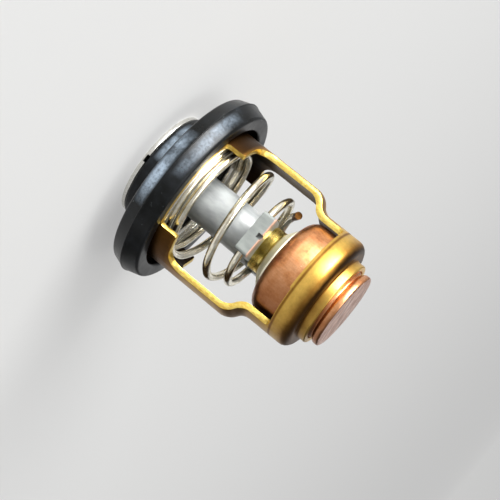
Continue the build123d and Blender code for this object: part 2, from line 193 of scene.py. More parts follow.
def drawnBrass():
    # yellow brass sheet, deep drawn: faint lines along the draw, brown tarnish in patches, tarnish and
    # painted shade at the bends, painted shade on one side and on the inner face
    material, tree, shader, where = startMaterial("drawn_brass")
    patches = addNode(tree, "ShaderNodeTexNoise", inputs={
        "Vector": where, "Scale": 1 / (4.5 * mm), "Detail": 5.0, "Roughness": 0.62})
    fine = addNode(tree, "ShaderNodeTexNoise", inputs={
        "Vector": where, "Scale": 1 / (0.7 * mm), "Detail": 4.0, "Roughness": 0.6})
    alongDraw = addNode(tree, "ShaderNodeMapping", inputs={"Vector": where, "Scale": (1, 1, 0.05)})
    lines = addNode(tree, "ShaderNodeTexNoise", inputs={
        "Vector": alongDraw.outputs["Vector"], "Scale": 1 / (0.3 * mm), "Detail": 2.0, "Roughness": 0.5})
    # tarnish and painted shade by height, 0 to 40 mm: strong at the flange, at the foot of the cup and on the
    # shoulder, where shade falls
    tarnishAndShadeByHeight = addNode(tree, "ShaderNodeValToRGB", inputs={"Fac": byHeight(tree, where, 0, 40)}, stops=[
        (0.30, grey(1.0)), (0.345, grey(0.42)), (0.42, grey(0.25)), (0.60, grey(0.22)), (0.68, grey(0.42)),
        (0.74, grey(0.25)), (0.835, grey(0.12)), (0.843, grey(0.62)), (0.851, grey(0.12)), (0.87, grey(0.10)),
        (0.905, grey(0.32)), (0.935, grey(0.9)), (0.945, grey(0.3)), (0.98, grey(0.12))])
    wobble = addNode(tree, "ShaderNodeMix", rgba, {
        0: patches.outputs["Fac"], 6: grey(-0.35), 7: grey(0.45)})
    amount = addNode(tree, "ShaderNodeMath", {"operation": "ADD", "use_clamp": True}, {
        0: tarnishAndShadeByHeight.outputs["Color"], 1: wobble.outputs[2]})
    # colour from the amount of tarnish and painted shade
    tarnishAndShadeColour = addNode(tree, "ShaderNodeValToRGB", inputs={"Fac": amount.outputs["Value"]}, stops=[
        (0.0, linear("ffe08a")), (0.3, linear("f0c462")), (0.6, linear("a97a36")), (1.0, linear("3e2811"))])
    # mostly painted shade, with some stain: browner towards one side
    sideStainAndShade = addNode(tree, "ShaderNodeMath", {"operation": "MULTIPLY"}, {
        0: towardsSide(tree, where, -15, 0.35, 1.0), 1: 0.55})
    agedAndShaded = addNode(tree, "ShaderNodeMix", rgba, {
        0: sideStainAndShade.outputs["Value"], 6: tarnishAndShadeColour.outputs["Color"], 7: linear("6e4a20")})
    # painted shade with some dark oxide on the inside of the sheet, within the wall's middle radius
    flat = addNode(tree, "ShaderNodeVectorMath", {"operation": "MULTIPLY"}, {0: where, 1: (1, 1, 0)})
    outward = addNode(tree, "ShaderNodeVectorMath", {"operation": "LENGTH"}, {0: flat.outputs["Vector"]})
    depth = addNode(tree, "ShaderNodeMath", {"operation": "SUBTRACT"}, {
        0: byHeight(tree, where, 26.2, 28.0, 12.75 * mm, 10.25 * mm), 1: outward.outputs["Value"]})
    within = addNode(tree, "ShaderNodeMapRange", inputs={
        "Value": depth.outputs["Value"], "From Min": 0.0, "From Max": 0.2 * mm})
    oxideAndShade = addNode(tree, "ShaderNodeMath", {"operation": "MULTIPLY"}, {
        0: within.outputs["Result"], 1: byHeight(tree, where, 35.2, 35.8, 0.88, 0.0)})
    inside = addNode(tree, "ShaderNodeMix", rgba, {
        0: oxideAndShade.outputs["Value"], 6: agedAndShaded.outputs[2], 7: linear("1d130b")})
    speck = addNode(tree, "ShaderNodeValToRGB", inputs={"Fac": fine.outputs["Fac"]}, stops=[
        (0.3, grey(0.7)), (0.6, grey(1.0))])
    dulled = addNode(tree, "ShaderNodeMix", {**rgba, "blend_type": "MULTIPLY"}, {
        0: 0.5, 6: inside.outputs[2], 7: speck.outputs["Color"]})
    rough = addNode(tree, "ShaderNodeValToRGB", inputs={"Fac": amount.outputs["Value"]}, stops=[
        (0.0, grey(0.22)), (0.7, grey(0.42))])
    bump = addNode(tree, "ShaderNodeBump", inputs={
        "Height": lines.outputs["Fac"], "Distance": 0.02 * mm, "Strength": 0.5})
    connect(tree, shader, {"Base Color": dulled.outputs[2], "Metallic": 1.0,
                           "Roughness": rough.outputs["Color"], "Normal": bump.outputs["Normal"]})
    return material


def cutBrass():
    # the punched edge of the sheet: bare, paler and brighter, with short shear marks
    material, tree, shader, where = startMaterial("cut_brass_edge")
    sheared = addNode(tree, "ShaderNodeMapping", inputs={"Vector": where, "Scale": (1, 1, 0.4)})
    marks = addNode(tree, "ShaderNodeTexNoise", inputs={
        "Vector": sheared.outputs["Vector"], "Scale": 1 / (0.25 * mm), "Detail": 3.0, "Roughness": 0.6})
    base = addNode(tree, "ShaderNodeValToRGB", inputs={"Fac": marks.outputs["Fac"]}, stops=[
        (0.3, linear("d4ac4c")), (0.65, linear("f3d978"))])
    bump = addNode(tree, "ShaderNodeBump", inputs={
        "Height": marks.outputs["Fac"], "Distance": 0.012 * mm, "Strength": 0.5})
    connect(tree, shader, {"Base Color": base.outputs["Color"], "Metallic": 1.0, "Roughness": 0.34,
                           "Normal": bump.outputs["Normal"]})
    return material


def turnedBrass():
    # brass turned on a lathe: rings round the axis, drawn coarser than real so that they show
    material, tree, shader, where = startMaterial("turned_brass")
    roundAxis = addNode(tree, "ShaderNodeMapping", inputs={"Vector": where, "Scale": (0.02, 0.02, 1)})
    rings = addNode(tree, "ShaderNodeTexNoise", inputs={
        "Vector": roundAxis.outputs["Vector"], "Scale": 1 / (0.12 * mm), "Detail": 2.0, "Roughness": 0.5})
    patches = addNode(tree, "ShaderNodeTexNoise", inputs={
        "Vector": where, "Scale": 1 / (1.5 * mm), "Detail": 3.0, "Roughness": 0.5})
    base = addNode(tree, "ShaderNodeValToRGB", inputs={"Fac": patches.outputs["Fac"]}, stops=[
        (0.35, linear("dcbd5c")), (0.65, linear("ffe88e"))])
    # the collar is drawn paler and duller, near white
    onCollar = byHeight(tree, where, 25.5, 25.8)
    shade = addNode(tree, "ShaderNodeMix", rgba, {0: onCollar, 6: base.outputs["Color"], 7: linear("fffbe4")})
    rough = addNode(tree, "ShaderNodeMapRange", inputs={"Value": onCollar, "To Min": 0.26, "To Max": 0.55})
    bump = addNode(tree, "ShaderNodeBump", inputs={
        "Height": rings.outputs["Fac"], "Distance": 0.015 * mm, "Strength": 0.5})
    connect(tree, shader, {"Base Color": shade.outputs[2], "Metallic": 1.0,
                           "Roughness": rough.outputs["Result"], "Normal": bump.outputs["Normal"]})
    return material


def spunCopper():
    # spun copper cup: rings round the axis, pink metal with brown oxide stains, and painted shade on one side
    material, tree, shader, where = startMaterial("spun_copper")
    roundAxis = addNode(tree, "ShaderNodeMapping", inputs={"Vector": where, "Scale": (0.03, 0.03, 1)})
    rings = addNode(tree, "ShaderNodeTexNoise", inputs={
        "Vector": roundAxis.outputs["Vector"], "Scale": 1 / (0.22 * mm), "Detail": 2.0, "Roughness": 0.5})
    stains = addNode(tree, "ShaderNodeTexNoise", inputs={
        "Vector": where, "Scale": 1 / (2.6 * mm), "Detail": 5.0, "Roughness": 0.65})
    base = addNode(tree, "ShaderNodeValToRGB", inputs={"Fac": stains.outputs["Fac"]}, stops=[
        (0.3, linear("95563a")), (0.46, linear("d8935f")), (0.7, linear("f5b98a"))])
    alongAxis = addNode(tree, "ShaderNodeMapping", inputs={"Vector": where, "Scale": (1, 1, 0.12)})
    brushed = addNode(tree, "ShaderNodeTexNoise", inputs={
        "Vector": alongAxis.outputs["Vector"], "Scale": 1 / (0.3 * mm), "Detail": 3.0, "Roughness": 0.6})
    streaks = addNode(tree, "ShaderNodeValToRGB", inputs={"Fac": brushed.outputs["Fac"]}, stops=[
        (0.36, grey(0.2)), (0.6, grey(0.0))])
    toned = addNode(tree, "ShaderNodeMix", rgba, {
        0: streaks.outputs["Color"], 6: base.outputs["Color"], 7: linear("8a5238")})
    # brown oxide stain and painted shade towards one side
    sideStainAndShade = addNode(tree, "ShaderNodeMath", {"operation": "MULTIPLY"}, {
        0: towardsSide(tree, where, -25, 0.55, 1.0), 1: 0.75})
    agedAndShaded = addNode(tree, "ShaderNodeMix", rgba, {
        0: sideStainAndShade.outputs["Value"], 6: toned.outputs[2], 7: linear("6d3c20")})
    # the end face is scratched from handling, slantwise
    slanted = addNode(tree, "ShaderNodeMapping", inputs={"Vector": where, "Rotation": (0, 0, 0.9)})
    drawnOut = addNode(tree, "ShaderNodeMapping", inputs={
        "Vector": slanted.outputs["Vector"], "Scale": (1, 0.12, 1)})
    scored = addNode(tree, "ShaderNodeTexNoise", inputs={
        "Vector": drawnOut.outputs["Vector"], "Scale": 1 / (0.5 * mm), "Detail": 4.0, "Roughness": 0.7})
    scores = addNode(tree, "ShaderNodeValToRGB", inputs={"Fac": scored.outputs["Fac"]}, stops=[
        (0.42, linear("8f6552")), (0.52, linear("b98a76")), (0.62, linear("f0d3c4"))])
    ended = addNode(tree, "ShaderNodeMix", rgba, {
        0: byHeight(tree, where, 41.05, 41.15), 6: agedAndShaded.outputs[2], 7: scores.outputs["Color"]})
    ringed = addNode(tree, "ShaderNodeMath", {"operation": "MULTIPLY"}, {0: rings.outputs["Fac"], 1: 0.3})
    shade = addNode(tree, "ShaderNodeMix", rgba, {
        0: ringed.outputs["Value"], 6: ended.outputs[2], 7: linear("c98a60")})
    rough = addNode(tree, "ShaderNodeValToRGB", inputs={"Fac": stains.outputs["Fac"]}, stops=[
        (0.3, grey(0.4)), (0.7, grey(0.26))])
    bump = addNode(tree, "ShaderNodeBump", inputs={
        "Height": rings.outputs["Fac"], "Distance": 0.02 * mm, "Strength": 0.5})
    connect(tree, shader, {"Base Color": shade.outputs[2], "Metallic": 1.0,
                           "Roughness": rough.outputs["Color"], "Normal": bump.outputs["Normal"]})
    return material


def mouldedRubber():
    # black nitrile rubber: semi-gloss mould skin, painted bluish highlights in patches, specks of pale dust
    material, tree, shader, where = startMaterial("moulded_rubber")
    grain = addNode(tree, "ShaderNodeTexNoise", inputs={
        "Vector": where, "Scale": 1 / (0.16 * mm), "Detail": 3.0, "Roughness": 0.6})
    clouds = addNode(tree, "ShaderNodeTexNoise", inputs={
        "Vector": where, "Scale": 1 / (5.0 * mm), "Detail": 5.0, "Roughness": 0.6})
    specks = addNode(tree, "ShaderNodeTexNoise", inputs={
        "Vector": where, "Scale": 1 / (0.33 * mm), "Detail": 2.0, "Roughness": 0.5})
    base = addNode(tree, "ShaderNodeValToRGB", inputs={"Fac": clouds.outputs["Fac"]}, stops=[
        (0.40, linear("070808")), (0.55, linear("101214")), (0.68, linear("1c2024"))])
    dots = addNode(tree, "ShaderNodeValToRGB", inputs={"Fac": specks.outputs["Fac"]}, stops=[
        (0.71, grey(0.0)), (0.76, grey(1.0))])
    dusted = addNode(tree, "ShaderNodeMix", rgba, {
        0: dots.outputs["Color"], 6: base.outputs["Color"], 7: linear("5d6164")})
    # painted bluish-white highlights: bands by height, 0 to 10 mm, in two sectors round the axis
    level = byHeight(tree, where, 0, 10)
    upper = addNode(tree, "ShaderNodeValToRGB", inputs={"Fac": level}, stops=[
        (0.13, grey(0.0)), (0.20, grey(1.0)), (0.32, grey(1.0)), (0.40, grey(0.0)),
        (0.74, grey(0.0)), (0.80, grey(0.5)), (0.88, grey(0.5)), (0.97, grey(0.0))])
    lower = addNode(tree, "ShaderNodeValToRGB", inputs={"Fac": level}, stops=[
        (0.45, grey(0.0)), (0.53, grey(1.0)), (0.64, grey(1.0)), (0.70, grey(0.0))])
    upperPart = addNode(tree, "ShaderNodeMath", {"operation": "MULTIPLY"}, {
        0: towardsSide(tree, where, -112, 0.88, 0.98), 1: upper.outputs["Color"]})
    lowerPart = addNode(tree, "ShaderNodeMath", {"operation": "MULTIPLY"}, {
        0: towardsSide(tree, where, -85, 0.90, 0.985), 1: lower.outputs["Color"]})
    paintedHighlightBands = addNode(tree, "ShaderNodeMath", {"operation": "ADD", "use_clamp": True}, {
        0: upperPart.outputs["Value"], 1: lowerPart.outputs["Value"]})
    # the painted highlight is broken by wide streaks and mottled in small spots
    streaky = addNode(tree, "ShaderNodeTexNoise", inputs={
        "Vector": where, "Scale": 1 / (3.2 * mm), "Detail": 3.0, "Roughness": 0.5})
    broken = addNode(tree, "ShaderNodeValToRGB", inputs={"Fac": streaky.outputs["Fac"]}, stops=[
        (0.32, grey(0.22)), (0.58, grey(0.85))])
    mottle = addNode(tree, "ShaderNodeTexNoise", inputs={
        "Vector": where, "Scale": 1 / (0.55 * mm), "Detail": 4.0, "Roughness": 0.65})
    highlightMottle = addNode(tree, "ShaderNodeValToRGB", inputs={"Fac": mottle.outputs["Fac"]}, stops=[
        (0.34, grey(0.45)), (0.56, grey(1.0))])
    streaked = addNode(tree, "ShaderNodeMath", {"operation": "MULTIPLY"}, {
        0: paintedHighlightBands.outputs["Value"], 1: broken.outputs["Color"]})
    paintedHighlightMask = addNode(tree, "ShaderNodeMath", {"operation": "MULTIPLY"}, {
        0: streaked.outputs["Value"], 1: highlightMottle.outputs["Color"]})
    # mixes in the painted bluish-white highlight
    withPaintedHighlight = addNode(tree, "ShaderNodeMix", rgba, {
        0: paintedHighlightMask.outputs["Value"], 6: dusted.outputs[2], 7: linear("98a7b6")})
    rough = addNode(tree, "ShaderNodeValToRGB", inputs={"Fac": clouds.outputs["Fac"]}, stops=[
        (0.35, grey(0.27)), (0.65, grey(0.42))])
    bump = addNode(tree, "ShaderNodeBump", inputs={
        "Height": grain.outputs["Fac"], "Distance": 0.012 * mm, "Strength": 0.4})
    connect(tree, shader, {"Base Color": withPaintedHighlight.outputs[2], "Roughness": rough.outputs["Color"],
                           "IOR": 1.52, "Specular IOR Level": 0.22, "Normal": bump.outputs["Normal"]})
    return material


def pressedSteel():
    # stainless sheet, pressed: bright, slightly scratched
    material, tree, shader, where = startMaterial("pressed_stainless")
    acrossSheet = addNode(tree, "ShaderNodeMapping", inputs={"Vector": where, "Scale": (1, 0.15, 1)})
    scratches = addNode(tree, "ShaderNodeTexNoise", inputs={
        "Vector": acrossSheet.outputs["Vector"], "Scale": 1 / (0.2 * mm), "Detail": 3.0, "Roughness": 0.6})
    base = addNode(tree, "ShaderNodeValToRGB", inputs={"Fac": scratches.outputs["Fac"]}, stops=[
        (0.3, linear("d0cfc8")), (0.7, linear("f2f0ea"))])
    bump = addNode(tree, "ShaderNodeBump", inputs={
        "Height": scratches.outputs["Fac"], "Distance": 0.01 * mm, "Strength": 0.4})
    connect(tree, shader, {"Base Color": base.outputs["Color"], "Metallic": 1.0, "Roughness": 0.27,
                           "Normal": bump.outputs["Normal"]})
    return material


def springWire(name, dark, light, rough):
    # drawn stainless wire: smooth and bright with a warm cast from heat treatment; brown where it was sheared
    material, tree, shader, where = startMaterial(name)
    patches = addNode(tree, "ShaderNodeTexNoise", inputs={
        "Vector": where, "Scale": 1 / (1.2 * mm), "Detail": 3.0, "Roughness": 0.5})
    fine = addNode(tree, "ShaderNodeTexNoise", inputs={
        "Vector": where, "Scale": 1 / (0.1 * mm), "Detail": 2.0, "Roughness": 0.5})
    base = addNode(tree, "ShaderNodeValToRGB", inputs={"Fac": patches.outputs["Fac"]}, stops=[
        (0.35, linear(dark)), (0.65, linear(light))])
    bump = addNode(tree, "ShaderNodeBump", inputs={
        "Height": fine.outputs["Fac"], "Distance": 0.006 * mm, "Strength": 0.4})
    connect(tree, shader, {"Base Color": base.outputs["Color"], "Metallic": 1.0, "Roughness": rough,
                           "Normal": bump.outputs["Normal"]})
    return material


def mouldedPlastic(name, dark, light, rough, paintedCopperReflection=False):
    # glass-filled nylon, moulded: light grey, satin, faint flow marks along the stem
    material, tree, shader, where = startMaterial(name)
    alongStem = addNode(tree, "ShaderNodeMapping", inputs={"Vector": where, "Scale": (1, 1, 0.4)})
    flow = addNode(tree, "ShaderNodeTexNoise", inputs={
        "Vector": alongStem.outputs["Vector"], "Scale": 1 / (1.6 * mm), "Detail": 3.0, "Roughness": 0.55})
    grain = addNode(tree, "ShaderNodeTexNoise", inputs={
        "Vector": where, "Scale": 1 / (0.12 * mm), "Detail": 2.0, "Roughness": 0.5})
    base = addNode(tree, "ShaderNodeValToRGB", inputs={"Fac": flow.outputs["Fac"]}, stops=[
        (0.35, linear(dark)), (0.65, linear(light))])
    shade = base.outputs["Color"]
    if paintedCopperReflection:
        # painted reflection of the copper case on the lips' faces next to it
        parts = addNode(tree, "ShaderNodeSeparateXYZ", inputs={"Vector": where})
        across = addNode(tree, "ShaderNodeMath", {"operation": "ABSOLUTE"}, {0: parts.outputs["Y"]})
        atLip = addNode(tree, "ShaderNodeMapRange", inputs={
            "Value": across.outputs["Value"], "From Min": 8.3 * mm, "From Max": 9.3 * mm})
        amount = addNode(tree, "ShaderNodeMath", {"operation": "MULTIPLY"}, {
            0: byHeight(tree, where, 23.95, 24.1), 1: atLip.outputs["Result"]})
        shade = addNode(tree, "ShaderNodeMix", rgba, {
            0: amount.outputs["Value"], 6: shade, 7: linear("b58c77")}).outputs[2]
    bump = addNode(tree, "ShaderNodeBump", inputs={
        "Height": grain.outputs["Fac"], "Distance": 0.008 * mm, "Strength": 0.4})
    connect(tree, shader, {"Base Color": shade, "Roughness": rough, "IOR": 1.53,
                           "Normal": bump.outputs["Normal"]})
    return material


finishes = {
    "brass": drawnBrass(),
    "cut": cutBrass(),
    "guide": turnedBrass(),
    "copper": spunCopper(),
    "rubber": mouldedRubber(),
    "steel": pressedSteel(),
    "wire": springWire("drawn_spring_wire", "e4dcc6", "fbf6e6", 0.24),
    "wireEnd": springWire("sheared_wire_end", "4a2e16", "7a5228", 0.4),
    "stem": mouldedPlastic("nylon_stem", "888b8b", "a2a5a4", 0.28),
    # the retainer's lips carry a painted copper reflection
    "retainer": mouldedPlastic("nylon_retainer", "666a68", "7d817d", 0.3, paintedCopperReflection=True),
}
print("materials made")


# rubber flange gasket: all sizes in mm, radii from the axis and heights from the plate's face

gasket = {"bore": 8.3, "neck": 10.2, "neckLow": 0.85, "coveWide": 1.5, "coveHigh": 1.2, "flangeLow": 4.5,
          "flangeTop": 10.1, "edge": 17.05, "parting": 18.0, "partingAt": 7.1, "flashBack": 0.12,
          "flashIn": 0.01, "flashHalf": 0.09, "mouth": 14.4, "pocketLow": 6.57, "pocketHigh": 7.63,
          "pocket": 16.03, "skirtIn": 12.37, "seat": 8.07}
rubberRing = turned("gasketRubber", [
    (gasket["bore"], gasket["neckLow"], 0.45), (gasket["neck"], gasket["neckLow"], 0.45),
    (gasket["neck"], gasket["flangeLow"] - gasket["coveHigh"], 0.75),
    (gasket["neck"] + gasket["coveWide"], gasket["flangeLow"], 0.3),
    (gasket["edge"], gasket["flangeLow"], 0.5),
    (gasket["parting"] - gasket["flashBack"], gasket["partingAt"] - gasket["flashBack"], 0.03),
    (gasket["parting"] - gasket["flashIn"], gasket["partingAt"] - gasket["flashHalf"], 0.04),
    (gasket["parting"] - gasket["flashIn"], gasket["partingAt"] + gasket["flashHalf"], 0.04),
    (gasket["parting"] - gasket["flashBack"], gasket["partingAt"] + gasket["flashBack"], 0.03),
    (gasket["edge"], gasket["flangeTop"], 0.5), (gasket["mouth"], gasket["flangeTop"], 0.5),
    (gasket["mouth"], gasket["pocketHigh"], 0), (gasket["pocket"], gasket["pocketHigh"], 0),
    (gasket["pocket"], gasket["pocketLow"], 0), (gasket["skirtIn"], gasket["pocketLow"], 0),
    (gasket["skirtIn"], gasket["seat"], 0), (gasket["bore"], gasket["seat"], 0.2),
], finishes["rubber"], steps=192)
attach(rubberRing, "frame_body")
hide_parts("flange_gasket")
print("gasket made")


# brass cage: one drawn sheet, spun, then the two windows are cut out of it

cage = {"out": 13.4, "sheet": 1.0, "flange": 16.0, "flangeLow": 6.6, "jogLow": 26.2, "jogTop": 28.0,
        "jogInside": 0.5, "cupOut": 10.9, "shoulder": 37.52, "neckOut": 8.1, "neckTop": 39.22,
        "windowLow": 9.7, "tabTop": 13.3, "tabAngle": 41, "legHalf": 3.9, "edge": 33.1, "edgeStep": 0.3,
        "stepAngle": 18, "stepSlope": 0.1, "inside": 9.6, "reach": 60, "weld": 0.06, "sliver": 0.01,
        "edgeRound": 0.1, "edgeAngle": 50}
cageShell = turned("cageBrass", [
    (cage["out"] - cage["sheet"], cage["flangeLow"], 0), (cage["flange"], cage["flangeLow"], 0.2),
    (cage["flange"], cage["flangeLow"] + cage["sheet"], 0.2),
    (cage["out"], cage["flangeLow"] + cage["sheet"], 0.3),
    (cage["out"], cage["jogLow"], 1.3), (cage["cupOut"], cage["jogTop"], 1.3),
    (cage["cupOut"], cage["shoulder"], 1.7), (cage["neckOut"], cage["shoulder"], 0.35),
    (cage["neckOut"], cage["neckTop"], 0.3), (cage["neckOut"] - cage["sheet"], cage["neckTop"], 0.2),
    (cage["neckOut"] - cage["sheet"], cage["shoulder"] - cage["sheet"], 0.3),
    (cage["cupOut"] - cage["sheet"], cage["shoulder"] - cage["sheet"], 0.8),
    (cage["cupOut"] - cage["sheet"], cage["jogTop"] - cage["jogInside"], 1.3),
    (cage["out"] - cage["sheet"], cage["jogLow"] - cage["jogInside"], 1.3),
], finishes["brass"], steps=180)


def windowCutter(side):
    # the outline is drawn flat, with the tabs' corners at 10 and the legs' middles at 20, then bent round:
    # the part out to 11.5 goes on radii, and what is beyond it on planes beside the leg
    tabAt, bentTo, legMiddle = 10, 11.5, 20
    legSide = legMiddle - cage["legHalf"]
    perDegree = tabAt / cage["tabAngle"]
    stepAt = cage["stepAngle"] * perDegree
    stepTop = cage["edge"] + (cage["edgeStep"] if side < 0 else 0)
    bm = bmesh.new()
    face = roundedOutline(bm, [
        (-tabAt, cage["windowLow"], 0.8), (0, cage["windowLow"], 0), (tabAt, cage["windowLow"], 0.8),
        (tabAt, cage["tabTop"], 0.3), (legSide, cage["tabTop"], 3.2), (legSide, stepTop, 1.0),
        (tabAt, stepTop, 0), (stepAt + cage["stepSlope"], stepTop, 0),
        (stepAt - cage["stepSlope"], cage["edge"], 0), (0, cage["edge"], 0), (-tabAt, cage["edge"], 0),
        (-legSide, cage["edge"], 1.0), (-legSide, cage["tabTop"], 3.2), (-tabAt, cage["tabTop"], 0.3),
    ])
    grown = bmesh.ops.extrude_face_region(bm, geom=[face])
    outer = {v for v in grown["geom"] if isinstance(v, bmesh.types.BMVert)}
    for vert in bm.verts:
        across = vert.co.x / mm
        if abs(across) < bentTo:
            angle = math.radians(across / perDegree)
            distance = cage["reach"] if vert in outer else cage["inside"]
            vert.co.x = distance * math.sin(angle) * mm
            vert.co.y = side * distance * math.cos(angle) * mm
        else:
            depth = legMiddle - abs(across)
            distance = cage["reach"] if vert in outer else math.sqrt(cage["inside"] ** 2 - depth ** 2)
            vert.co.x = math.copysign(distance, across) * mm
            vert.co.y = side * depth * mm
    bmesh.ops.triangulate(bm, faces=bm.faces[:])
    bmesh.ops.recalc_face_normals(bm, faces=bm.faces[:])
    return pieceFromBmesh("windowCutter", bm, finishes["cut"])


for side in (-1, 1):
    cutAway(cageShell, windowCutter(side))
bm = bmesh.new()
bm.from_mesh(cageShell.data)
bmesh.ops.remove_doubles(bm, verts=bm.verts[:], dist=cage["weld"] * mm)
bmesh.ops.dissolve_degenerate(bm, edges=bm.edges[:], dist=cage["sliver"] * mm)
bm.to_mesh(cageShell.data)
bm.free()
edgeRound = cageShell.modifiers.new("edges", "BEVEL")
edgeRound.width = cage["edgeRound"] * mm
edgeRound.segments = 2
edgeRound.limit_method = "ANGLE"
edgeRound.angle_limit = math.radians(cage["edgeAngle"])
applyModifiers(cageShell)
smoothShaded(cageShell.data, cutSharp)
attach(cageShell, "frame_body")
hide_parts("frame_cage")
print("cage made")


# seat ring: a shallow steel dish inside the skirt, under the first coil

seat = {"hole": 9.2, "low": 8.1, "sheet": 0.85, "out": 12.37, "wallTop": 9.9, "wall": 0.6}
seatDish = turned("seatDish", [
    (seat["hole"], seat["low"], 0.25), (seat["out"], seat["low"], 0.3), (seat["out"], seat["wallTop"], 0.2),
    (seat["out"] - seat["wall"], seat["wallTop"], 0.2),
    (seat["out"] - seat["wall"], seat["low"] + seat["sheet"], 0.25),
    (seat["hole"], seat["low"] + seat["sheet"], 0.3),
], finishes["steel"])
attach(seatDish, "frame_body")
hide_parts("seat_ring")
print("seat ring made")


# valve plate: a pressed steel disc with a raised panel and a small bleed groove across its rim

plate = {"radius": 9.9, "sheet": 0.8, "panel": 4.8, "cone": 1.5, "coneBack": 0.4, "rise": 1.2, "hole": 1.98,
         "edgeRound": 0.15, "bleed": 1.4, "bleedDepth": 0.5, "bleedLength": 2.0, "bleedAngle": 280}
valveDisc = turned("valveDisc", [
    (plate["hole"], plate["rise"], 0.1), (plate["panel"], plate["rise"], 0.4),
    (plate["panel"] + plate["cone"], 0, 0.5), (plate["radius"], 0, plate["edgeRound"]),
    (plate["radius"], plate["sheet"], plate["edgeRound"]),
    (plate["panel"] + plate["cone"] + plate["coneBack"], plate["sheet"], 0.5),
    (plate["panel"] + plate["coneBack"], plate["rise"] + plate["sheet"], 0.4),
    (plate["hole"], plate["rise"] + plate["sheet"], 0.1),
], finishes["steel"])
bm = bmesh.new()
bmesh.ops.create_cube(bm, size=1)
bmesh.ops.scale(bm, verts=bm.verts, vec=(
    2 * plate["bleedLength"] * mm, plate["bleed"] * mm, 2 * plate["bleedDepth"] * mm))
bmesh.ops.translate(bm, verts=bm.verts, vec=(plate["radius"] * mm, 0, plate["sheet"] * mm))
bmesh.ops.rotate(bm, verts=bm.verts, cent=(0, 0, 0),
                 matrix=Matrix.Rotation(math.radians(plate["bleedAngle"]), 3, "Z"))
cutAway(valveDisc, pieceFromBmesh("bleedDrill", bm, finishes["rubber"]))  # the groove is painted black with the rubber finish, as shade in the recess
smoothShaded(valveDisc.data, cutSharp)
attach(valveDisc, "valve_body")
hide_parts("valve_plate")
print("plate made")


# valve stem: a bored cylinder, with a spigot through the plate and a barbed head for the retainer

stem = {"low": 2.03, "radius": 4.1, "foot": 21.55, "footRadius": 3.0, "top": 22.83, "head": 3.45,
        "barbLow": 0.45, "barbAt": 0.34, "spigot": 1.95, "spigotLow": 0.3, "bore": 1.6, "boreLow": 16.83,
        "boreTip": 0.6}
stemPiece = turned("stemMoulding", [
    (0, stem["spigotLow"], 0), (stem["spigot"], stem["spigotLow"], 0.3), (stem["spigot"], stem["low"], 0),
    (stem["radius"], stem["low"], 0.25), (stem["radius"], stem["foot"], 0.2),
    (stem["footRadius"], stem["foot"], 0), (stem["footRadius"], stem["top"] - stem["barbLow"], 0),
    (stem["head"], stem["top"] - stem["barbAt"], 0.05), (stem["footRadius"], stem["top"], 0.1),
    (stem["bore"], stem["top"], 0.1), (stem["bore"], stem["boreLow"], 0),
    (0, stem["boreLow"] - stem["boreTip"], 0),
], finishes["stem"], steps=96)
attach(stemPiece, "valve_body")
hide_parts("valve_stem")
finishNode("spring_retainer", "retainer")
finishNode("plate_clip", "steel")
finishNode("piston", "steel")
print("stem made")


# closing spring: each row is (turn, share from the end radius to the base radius, share of the height)

spring = {"wire": 1.4, "base": 10.6, "end": 8.28, "low": 9.68, "top": 22.57, "startAngle": 270, "steps": 48,
          "shearedLow": 23.3, "shearedMiddle": 23.6,
          "rows": [(-0.35, 1.0, 0.0), (0.0, 1.0, 0.0), (0.65, 1.0, 0.112), (1.0, 1.0, 0.12),
                   (1.25, 0.98, 0.175), (1.5, 0.88, 0.34), (1.75, 0.78, 0.53), (2.0, 0.7, 0.645),
                   (2.25, 0.57, 0.74), (2.5, 0.39, 0.87), (2.75, 0.2, 0.97), (3.0, 0.02, 1.0),
                   (3.25, 0.0, 1.0), (3.64, 0.0, 1.0), (3.74, -0.12, 1.15)]}


def coilPoint(turn):
    for before, after in zip(spring["rows"], spring["rows"][1:]):
        if turn <= after[0] + 0.0001:  # the last turn may pass its row by a rounding error
            break
    share = (turn - before[0]) / (after[0] - before[0])
    outShare = before[1] + (after[1] - before[1]) * share
    upShare = before[2] + (after[2] - before[2]) * share
    radius = (spring["end"] + (spring["base"] - spring["end"]) * outShare) * mm
    angle = math.radians(spring["startAngle"] + 360 * turn)
    height = (spring["low"] + (spring["top"] - spring["low"]) * upShare) * mm
    return (radius * math.cos(angle), radius * math.sin(angle), height)


firstTurn, lastTurn = spring["rows"][0][0], spring["rows"][-1][0]
curve = bpy.data.curves.new("springLine", "CURVE")
curve.dimensions = "3D"
curve.resolution_u = 10
curve.bevel_depth = spring["wire"] / 2 * mm
curve.bevel_resolution = 7
curve.use_fill_caps = True
line = curve.splines.new("BEZIER")
line.bezier_points.add(spring["steps"])
for step, handle in enumerate(line.bezier_points):
    handle.co = coilPoint(firstTurn + (lastTurn - firstTurn) * step / spring["steps"])
    handle.handle_left_type = "AUTO"
    handle.handle_right_type = "AUTO"
springLine = bpy.data.objects.new("springLine", curve)
bpy.context.scene.collection.objects.link(springLine)
applied = springLine.evaluated_get(bpy.context.evaluated_depsgraph_get())
springMesh = bpy.data.meshes.new_from_object(applied)
bpy.data.objects.remove(springLine)
bm = bmesh.new()
bm.from_mesh(springMesh)
bmesh.ops.remove_doubles(bm, verts=bm.verts[:], dist=samePoint)
bmesh.ops.recalc_face_normals(bm, faces=bm.faces[:])
for face in bm.faces:  # the sheared end face stands above every coil
    allHigh = all(v.co.z > spring["shearedLow"] * mm for v in face.verts)
    if allHigh and face.calc_center_median().z > spring["shearedMiddle"] * mm:
        face.material_index = 1
springPiece = pieceFromBmesh("springCoil", bm, finishes["wire"], 50)
springPiece.data.materials.append(finishes["wireEnd"])
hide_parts("closing_spring")
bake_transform(springPiece)
print("spring made")


# wax element: the copper case, and the brass guide that carries the piston

